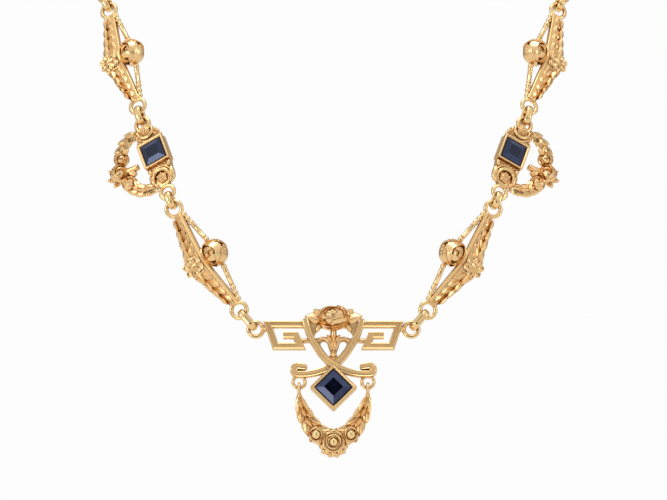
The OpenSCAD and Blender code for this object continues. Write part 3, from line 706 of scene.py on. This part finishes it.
def laurelFlower(link):
    x, y = link["flower"]
    cushion = [(-0.45, 0), (-0.45, 1.5), (0.2, 1.72), (0.5, 1.5), (0.66, 1.0), (0.7, 0)]
    ring = petalRing((x, y, 0), link["petals"], 30, (1.24, 0, 0.72), 12, dish(0.95, 0.82, 0.42, 0.45))
    return [lathed(cushion, (x, y, 0)), ball(0.46, (x, y, 1.05))] + ring


def laurelBalusters(link):
    start, end = np.array(link["balusterFoot"]), np.array(link["balusterTop"])
    bead, rod = link["bead"], link["rod"]
    profile = [(0, rod)]
    for k, at in enumerate(link["beads"]):
        profile += [(at - bead * math.cos(a), max(bead * math.sin(a), rod * 0.8))
                    for a in np.linspace(0.4, math.pi - 0.4, 13)]
        if k == 2:  # the long rod, between the third and fourth beads
            low, high = at + bead, link["beads"][3] - bead
            profile += [(low + t, r) for t, r in link["collar"]] + [((low + high) / 2, 0.51)]
            profile += [(high - t, r) for t, r in link["collar"][::-1]]
    profile += [(link["beads"][3] + 0.75, 0.42), (np.linalg.norm(end - start), 0.5)]
    shapes = [turned(profile, start, end)]
    return shapes + flipped(shapes, link["length"] / 2) + eyelets(link)


laurelParts = {"Frame": (laurelFrame(laurelLink), satinGold), "Spray": (laurelSpray(laurelLink), castGold),
               "Flower": (laurelFlower(laurelLink), castGold), "Balusters": (laurelBalusters(laurelLink), polishedGold),
               "RoseBall": (wrappedBall(laurelLink["ball"], laurelLink["ballRadius"], 14, 0), chasedGold)}
for hung, node in (("lowerLaurel", "lower_laurel"), ("upperLaurel", "upper_laurel")):
    addPair(hung, node, laurelParts, aimed(*hang[hung]))
print("laurel links ready")

# Sapphire link: square setting between two acanthus shoulders, and a half-round laurel swag beside it

stoneLink = {
    "length": 16.95, "eyelet": 1.47, "wire": 0.86, "setting": (-0.38, 9.65), "outer": 5.9, "stone": 4.8,
    "low": -1.1, "high": 1.15, "upper": (-0.25, 14.8), "lower": (-0.2, 3.5), "middle": 9.0,
    "branch": [(1.75, 2.25), (3.35, 2.45), (5.0, 3.2), (6.3, 4.6), (7.0, 6.2)],
    "balls": [((8.2, 9.1, 0.5), 1.75, 200), ((6.85, 12.0, 0.45), 1.38, 240), ((6.95, 5.9, 0.45), 1.45, 160)],
}


def squareSetting(link, turn=0):  # box setting: flat brushed walls and a thin bright lip over the stone
    wall, corner, low, high = (link["outer"] - link["stone"]) / 2, 0.22, link["low"], link["high"]
    path = []
    for k, (x, y) in enumerate([(1, -1), (1, 1), (-1, 1), (-1, -1)]):
        centre = np.array([x, y], float) * (link["outer"] / 2 - corner)
        quarter = np.radians(np.linspace(90 * k - 90, 90 * k, 5))
        path += [centre + corner * np.array([math.cos(a), math.sin(a)]) for a in quarter]
    section = [(0, low), (0, low + 0.16), (0.03, low + 0.22), (0.03, high - 0.32), (0, high - 0.26), (0, high - 0.1),
               (0.07, high - 0.02), (0.17, high), (0.28, high - 0.02), (wall - 0.04, high - 0.26),
               (wall + 0.02, high - 0.34), (wall + 0.02, 0.16), (wall + 0.24, 0.1), (wall + 0.24, low)]
    return moved(swept(path, section, closed=True), (*link["setting"], 0), turn=turn)


def roseShoulder(at, way, radius):
    # a knobbed floret with bright half-moon petals on the stone's side; way is 1 below the stone and -1 above it
    heart = (at[0], at[1] - way * 0.1 * radius)
    cup = lathed([(-0.5, 0), (-0.5, radius), (0.2, 1.08 * radius), (0.4, radius), (0.45, 0)], (*at, 0))
    bright = crescents(heart, [(0.98 * radius, 0.46 * radius, -0.3, 1.35, 90 * way, 112),
                               (1.36 * radius, 0.24 * radius, -0.3, 0.95, 90 * way + 12, 66)])
    return bright, [cup] + knobDome(heart, 0.64 * radius, 0.35, 0.8)


def acanthusShoulder(link, at, way):
    edge = link["setting"][1] - way * link["outer"] / 2
    tip = link["eyelet"] + 0.1 if way > 0 else link["length"] - link["eyelet"] - 0.1
    x = link["setting"][0]
    outline = [(x - 2.75, edge), (x + 2.75, edge), (2.3, at[1]), (0.9, tip), (-0.9, tip), (-2.6, at[1])]
    shapes = [plate(outline, -0.8, 0.35)]
    # small bosses fill the field beside the bezel
    shapes += [lobe((x - 2.1 + 0.7 * i, edge - way * (0.36 + 0.14 * (i % 3)), 0.28), (0.46, 0.27, 0.34),
                    turn=62 - 34 * (i % 4)) for i in range(7)]
    for side in (-1, 1):
        if way > 0:  # below the stone: one smooth swelling leaf on each side
            rows = [((at[0] + side * 2.15, at[1] + 0.05, 0.0), (1.75, 0.72, 0.75), 9),
                    ((at[0] + side * 1.75, at[1] - 1.0, 0.1), (1.0, 0.5, 0.6), 28),
                    ((x + side * 2.2, edge - 0.95, 0.4), (0.75, 0.42, 0.5), 24)]
        else:  # above it: three ridged lobes that spread to each side
            rows = [((x + side * out, edge + off, level), size, turn)
                    for out, off, turn in ((2.1, 0.4, 94), (1.85, 1.08, 76), (1.3, 1.7, 56))
                    for level, size in ((0.25, (0.95, 0.48, 0.5)), (0.72, (0.7, 0.12, 0.16)))]
        shapes += [lobe(place, size, turn=90 - side * turn) for place, size, turn in rows]
    return shapes


def swagBranch(link):
    path = np.array(link["branch"])
    shapes = [swept(smoothed(path, 4), barSection(1.7, -0.5, 0.2, 0.4, 0.25))]
    for k, reach in enumerate((2.3, 2.45, 2.2)):
        way, across = waysOf(path[k], path[k + 1])
        start = path[k] + 0.2 * (path[k + 1] - path[k])
        shapes += leafPair(start, way, across, 0.1, reach, 1.15 + 0.1 * k, 1.75 + 0.1 * k, 0.05 + 0.05 * k,
                           camber=0.5, rise=0.35)
        shapes.append(leaf(start, start + (reach - 0.35) * way, 1.05 + 0.1 * k, 0.25 + 0.06 * k, camber=0.55, rise=0.35,
                           rib=0.2, thick=0.5))
    shapes.append(lathed([(-0.56, 0), (-0.56, 1.5), (0.1, 1.7), (0.35, 1.5), (0.4, 0)], (6.85, 5.95, 0)))
    return shapes


def swagTips(link):
    middle = link["middle"]
    shapes = [lathed([(-0.6, 0), (-0.6, 1.8), (0.0, 2.0), (0.3, 1.7), (0.35, 0)], (8.2, middle, 0))]
    tip = [leaf((0.9, 0), (2.95, 0), 1.45, -0.1, camber=0.45, rise=0.2, curl=0.25), ball(0.36, (2.45, 0, 0.42))]
    shapes += [moved(s, (8.2, middle, 0), turn=turn) for turn in (-46, 0, 46) for s in tip]
    # rounded stub towards the setting, with a small leaf that joins it to the branch
    shapes.append(turned([(0, 0.3), (0.06, 0.5), (0.2, 0.66), (0.5, 0.7), (1.4, 0.6), (2.8, 0.8)],
                         (3.8, middle - 0.5, 0.2), (6.5, middle - 0.1, 0.05)))
    shapes.append(lobe((5.75, middle - 0.95, 0.05), (1.35, 0.78, 0.5), turn=42))
    return shapes


upperMoons, upperFloret = roseShoulder(stoneLink["upper"], -1, 1.7)
lowerMoons, lowerFloret = roseShoulder(stoneLink["lower"], 1, 1.8)
shoulders = acanthusShoulder(stoneLink, stoneLink["upper"], -1) + acanthusShoulder(stoneLink, stoneLink["lower"], 1)
branches = swagBranch(stoneLink) + flipped(swagBranch(stoneLink), stoneLink["middle"])
swagBalls = [s for at, radius, toward in stoneLink["balls"] for s in wrappedBall(at, radius, 28, toward)]
stoneParts = {"Frame": ([squareSetting(stoneLink)], satinGold),
              "Shoulders": (shoulders + upperFloret + lowerFloret, castGold),
              "Rosettes": (upperMoons + lowerMoons + eyelets(stoneLink), polishedGold),
              "Swag": (branches + swagTips(stoneLink), castGold), "Balls": (swagBalls, chasedGold)}
addPair("stoneLink", "stone_link", stoneParts, aimed(*hang["stoneLink"]))
print("sapphire links ready")

# Plaque: Greek key wings, crossed ribbons with scrolled ends, rose, fretwork and the square setting

plaque = {
    "half": 15.54, "eyelet": 1.46, "wire": 0.86,
    "keyPath": [(5.9, 1.01), (13.06, 1.01), (11.58, -3.48), (6.58, -3.48), (7.56, -1.22), (10.05, -1.22)],
    "keyBar": 1.38, "connector": [(4.4, -2.3), (6.95, -2.3)],
    "ribbon": [(-5.72, 2.1), (-5.35, 0.6), (-4.72, -1.3), (-3.72, -3.15), (-2.56, -5.0), (-1.3, -6.46), (0, -7.39),
               (1.52, -8.18), (3.3, -8.84), (5.0, -9.17), (6.1, -9.24), (7.07, -9.24)],
    "ribbonWidth": 1.25, "scroll": (7.07, -8.4), "scrollRadius": 0.84, "scrollEnd": (5.85, -7.76),
    "setting": (0, -11.97), "outer": 6.67, "stone": 5.44, "low": -0.9, "high": 1.2,
    "ring": 1.2, "ringWire": 0.7, "ringAt": (6.85, -10.8),
    "rose": (0, 2.35), "roseRadius": 2.45,
    # petals that overlap round the rose, from the bud outward
    "rosePetals": [
        (0.83, 6, 30, 130, -70, 3, 0.01), (0.865, 15, 42, 142, 100, 6, 0.02), (0.90, 25, 54, 118, -52, 8, 0.03),
        (0.93, 33, 62, 92, 122, 8, 0.03), (0.945, 38, 66, 60, -128, 12, 0.02), (0.965, 46, 84, 70, -78, -8, 0.01),
        (0.98, 48, 86, 64, 8, -16, 0.02), (0.98, 48, 86, 64, 168, 14, 0.02), (1.03, 63, 106, 52, -150, -8, 0.0),
        (1.04, 59, 108, 56, -46, 10, 0.02), (1.02, 62, 106, 52, 44, 0, 0.02), (1.02, 62, 106, 52, 140, 0, 0.02),
        (1.1, 82, 118, 42, -120, -4, 0.0), (1.11, 80, 118, 42, -62, 4, 0.01)],
    "leaves": [((-1.5, 2.3), (-4.0, 4.05), 2.1, 0.06), ((-1.8, 1.7), (-5.8, 2.55), 2.4, -0.05)],  # with width and bow
    "arm": [(-0.25, -4.3), (-0.62, -3.4), (-1.05, -2.45), (-1.75, -1.95), (-2.6, -2.1), (-3.25, -2.6)],
    "armSection": (0.62, -0.4, 0.6), "stem": [(0, 0.4), (0.3, 0.5), (1.1, 0.42), (2.0, 0.5), (2.3, 0.4)],
    "stemFoot": [(0, 0.2), (0.15, 0.36), (0.35, 0.36), (0.45, 0.25), (2.2, 0.32)],
    # openings of the pierced sheet behind the stem, on the right side
    "openings": [
        [(0.62, -0.1), (1.6, 0.35), (2.6, 0.1), (3.5, -0.75), (3.85, -1.5), (3.3, -1.85), (2.2, -1.5), (1.3, -1.6),
         (0.7, -1.2)],
        [(1.3, -2.75), (1.9, -2.5), (2.5, -2.75), (2.55, -3.3), (2.1, -4.1), (1.5, -4.9), (0.95, -5.5), (0.62, -5.0),
         (0.95, -3.9)]],
    "sheet": [(-5.3, 1.6), (-4.6, -1.3), (-2.4, -5.0), (0, -7.2), (2.4, -5.0), (4.6, -1.3), (5.3, 1.6)],
}


def keyWing(p):
    w = p["keyBar"] / 2
    rim = [(-w, -0.6), (-w, 0.44), (0.2 - w, 0.72), (0.28 - w, 0.72), (0.4 - w, 0.58)]
    key = swept(p["keyPath"], bothEdges(rim))
    scrollFloor = plate([(5.7, -8.8), (7.6, -8.8), (7.7, -7.9), (5.7, -8.1)], -0.46, -0.05)
    joint = swept(p["connector"], roundSection(0.9, -0.45, 0.5))
    lug = turned([(0, 0.5), (0.5, 0.42), (0.9, 0.42), (1.3, 0.5)], (12.9, 0.0, 0.0), (14.2, 0, 0.0))
    return bothSides([key, joint, lug, scrollFloor, ball(0.5, (13.6, 0, 0.15))])


# a fine bright edge raised along both sides of the key and of the ribbons: across and height
fineRidge = bothEdges([(-0.09, -0.22), (-0.07, 0.0)], (0, 0.04))


def keyRims(p, high):
    edge = p["keyBar"] / 2 - 0.17
    return bothSides([swept(p["keyPath"], [(x + at, z + high) for x, z in fineRidge]) for at in (-edge, edge)])


def plaqueRings(p):
    return bothSides([torus(p["eyelet"], p["wire"], (p["half"], 0, 0)),
                      torus(p["ring"], p["ringWire"], (*p["ringAt"], 0))])


def ribbonRun(p, arch):
    # one ribbon's path, its widths, fuller in the scroll and rounded at the end, and its rise at the crossing
    path = smoothed(p["ribbon"], 5)
    cx, cy = p["scroll"]
    arc = [(cx + p["scrollRadius"] * math.sin(a), cy - p["scrollRadius"] * math.cos(a))
           for a in np.linspace(0, math.pi, 22)[1:]]
    end = np.array([np.array(arc[-1]) + t * (np.array(p["scrollEnd"]) - arc[-1]) for t in (0.35, 0.7, 1.0)])
    straight = len(path)
    path, widths = roundEnd(np.vstack([path, arc, end]), p["ribbonWidth"])
    widths[straight:-endSteps] *= 1 + 0.2 * np.sin(np.linspace(0, math.pi, len(widths) - endSteps - straight))
    far = np.linalg.norm(path - np.array(p["ribbon"][6]), axis=1)
    return {"path": path, "widths": widths, "lifts": arch * np.exp(-(far / 2.2) ** 2)}


def ribbonBand(p, low, high, arch):
    w = p["ribbonWidth"] / 2
    edge = [(-w, low), (-w, high - 0.2), (0.07 - w, high - 0.1), (0.2 - w, high - 0.1), (0.26 - w, high - 0.13)]
    return swept(section=bothEdges(edge, (0, high - 0.03)), **ribbonRun(p, arch))


def ribbonRims(p, high, arch):
    at = p["ribbonWidth"] / 2 - 0.14
    return [swept(section=[(x + side * at, z + high) for x, z in fineRidge], **ribbonRun(p, arch)) for side in (-1, 1)]


def fretwork(p):
    holes = [[(side * x, y) for x, y in hole] for side in (-1, 1) for hole in p["openings"]]
    return plate(p["sheet"], -0.42, 0.26, [smoothed(hole + hole[:1], 4)[:-1] for hole in holes])


def roseBloom(p):  # the bud looks up and out
    radius = p["roseRadius"]
    shapes = [ball(radius * 0.9, (0, 0, -0.09 * radius)), lobe((0.1, 0, 0.8 * radius), (0.42, 0.3, 0.3), turn=40)]
    shapes += petals(p["rosePetals"], radius, 0.22, 0.09, 6)
    return [moved(moved(s, tilt=-33, swing=-10), (*p["rose"], 0.3), scale=(1.22, 0.98, 0.9)) for s in shapes]


def roseLeaves(p):
    shapes = [leaf(a, b, wide, 0.1 + 0.12 * k, camber=0.55, rise=0.4, rib=0.16, curl=0.35, bow=bow, cup=0.1)
              for k, (a, b, wide, bow) in enumerate(p["leaves"])]
    # a curled bud leaf hangs below them
    shapes.append(lobe((-2.95, 0.3, 0.45), (1.1, 0.48, 0.55), turn=58))
    shapes.append(lobe((-2.75, 0.45, 0.8), (0.85, 0.16, 0.28), turn=58))
    return bothSides(shapes)


def stemAndArms(p):
    arm = smoothed(p["arm"], 5)
    shapes = bothSides([swept(arm, roundSection(*p["armSection"]), widths=np.linspace(1.25, 0.8, len(arm))),
                        leaf((-0.1, -2.75), (-1.4, -1.15), 0.95, 0.2, camber=0.35, rise=0.25, rib=0.1),
                        leaf((-0.2, -2.3), (-2.9, -1.75), 0.8, 0.25, camber=0.3, rise=0.1, rib=0.08)])
    return shapes + [turned(p["stem"], (0, 0.3, 0.3), (0, -2.0, 0.3), 24),
                     leaf((0, -1.7), (0, -4.8), 1.45, 0.15, camber=0.6, rise=0.0, rib=0.25),
                     leaf((0, -1.2), (0, -2.9), 0.9, 0.45, camber=0.4, rise=0.1, rib=0.15),
                     turned(p["stemFoot"], (0, -4.45, 0.1), (0, -6.9, 0.1), 24)]


crossed = [ribbonBand(plaque, -0.5, 1.05, 0.15)] + flipped([ribbonBand(plaque, -0.62, 0.72, 0.0)], axis="x")
crossedRims = ribbonRims(plaque, 1.03, 0.15) + flipped(ribbonRims(plaque, 0.7, 0.0), axis="x")
plaqueParts = {  # shapes, finish and the angle in degrees from which an edge is sharp
    "KeyWings": (keyWing(plaque), satinGold, 30), "KeyRims": (keyRims(plaque, 0.72), polishedGold, 30),
    "Ribbons": (crossed, satinGold, 35), "RibbonRims": (crossedRims, polishedGold, 30),
    "Setting": ([squareSetting(plaque, turn=45)], satinGold, 35), "Fret": ([fretwork(plaque)], satinGold, 42),
    "Stem": (stemAndArms(plaque), castGold, 42), "Rose": (roseBloom(plaque), chasedGold, 60),
    "Leaves": (roseLeaves(plaque), castGold, 42),
    "Drop": ([ball(0.5, (0, -5.34, 0.3))] + plaqueRings(plaque), polishedGold, 42),
}
for part, (shapes, finish, sharp) in plaqueParts.items():
    addPiece("plaque" + part, shapes, aimed(*hang["plaque"]), "centre_plaque", finish, sharp=sharp)
print("plaque ready")

# Garland: two laurel branches on loops, with rosettes where they meet

garland = {
    "loopAt": 6.85, "loop": 0.83, "loopWire": 0.68,
    "path": [(6.85, -1.3), (6.75, -2.2), (6.3, -4.2), (5.3, -6.6), (3.6, -9.0), (1.5, -10.4)],
    "wide": (0.9, 1.9, 2.6, 3.0, 3.2, 3.0), "side": (3.45, -9.15), "middle": (0, -10.6),
    # half-moon petals that stand round each ball and overlap, then bright ones: radius, width, foot, top and arc
    "sideMoons": [(1.3, 0.62, -0.2, 1.15, 100, 80), (1.26, 0.56, -0.2, 1.0, -72, 88)],
    "moons": [(1.94, 0.8, -0.2, 1.05, 212, 68), (1.94, 0.8, -0.2, 1.05, -32, 68), (1.32, 0.6, 0.0, 1.38, -122, 92)],
    "sideWraps": [(1.06, 0.3, 0.1, 1.45, 150, 80)],
    "wraps": [(2.0, 0.86, -0.2, 1.25, 84, 62), (1.36, 0.64, 0.0, 1.55, 58, 92), (0.98, 0.28, 0.6, 1.75, 130, 84)],
}


def garlandBranch(g):
    path, wide = np.array(g["path"]), g["wide"]
    widths = np.interp(np.arange(21), np.arange(6) * 4, wide)
    shapes = [swept(smoothed(path, 4), barSection(0.84, -0.5, 0.2, 0.3, 0.3), widths=widths)]
    for k in range(4):
        way, across = waysOf(path[k + 1], path[k + 2])
        start, size = path[k + 1] + 0.35 * (path[k] - path[k + 1]), wide[k + 1]
        shapes += leafPair(start, way, across, 0.12, 3.15, 0.6 * size, 0.5 * size + 0.65, 0.02 * k,
                           camber=0.32, rise=0.42, rib=0.26, curl=0.2)
        shapes.append(leaf(start, start + 2.4 * way, 1.05, 0.3 + 0.02 * k, camber=0.4, rise=0.35, rib=0.26, thick=0.6))
    shapes.append(turned([(0, 0.3), (0.25, 0.42), (0.9, 0.40), (1.3, 0.3)], (g["loopAt"], -g["loop"] - 0.05, 0),
                         (g["loopAt"], -g["loop"] - 1.4, 0), 24))
    shapes.append(torus(g["loop"], g["loopWire"], (g["loopAt"], 0, 0), upright=True))
    return bothSides(shapes)


def lobedCup(at, radius, high, lobes, level, first, wide):
    cup = [(-0.47, 0), (-0.47, radius * 0.8), (0.1, radius * 0.92), (high * 0.5, radius * 0.7), (high * 0.55, 0)]
    return [lathed(cup, (*at, level))] + petalRing((*at, level), lobes, first, (radius * 0.78, 0, high * 0.42), 22,
                                                   dish(radius * 0.42, radius * wide, 0.3, 0.34))


def garlandRosettes(g):
    shapes = bothSides(lobedCup(g["side"], 1.6, 1.35, 7, -0.1, 0.0, 0.42) + crescents(g["side"], g["sideMoons"]))
    shapes += lobedCup(g["middle"], 2.3, 1.2, 8, -0.2, 22.5, 0.44) + crescents(g["middle"], g["moons"])
    shapes.append(lathed([(0, 0), (0, 1.95), (0.55, 1.85), (0.9, 1.3), (0.95, 0)], (*g["middle"], 0.05)))
    for reach, size, count, spread in ((2.2, 0.84, 5, 66), (2.66, 0.62, 4, 44)):  # small knobbed petals below
        for a in np.radians(np.linspace(-90 - spread, -90 + spread, count)):
            at = (reach * math.cos(a), g["middle"][1] + reach * math.sin(a), 0.05)
            shapes.append(lobe(at, (1.15 * size, 0.85 * size, 0.9 * size), turn=math.degrees(a)))
    return shapes


def garlandBalls(g):
    return (bothSides([ball(0.94, (*g["side"], 0.9))] + crescents(g["side"], g["sideWraps"]))
            + [ball(0.86, (*g["middle"], 1.25))] + crescents(g["middle"], g["wraps"]))


for part, shapes, finish in (("Branches", garlandBranch(garland), castGold),
                             ("Rosettes", garlandRosettes(garland), castGold),
                             ("Balls", garlandBalls(garland), polishedGold)):
    addPiece("garland" + part, shapes, aimed(*hang["garland"]), "garland", finish, body="garland")
print("garland ready")
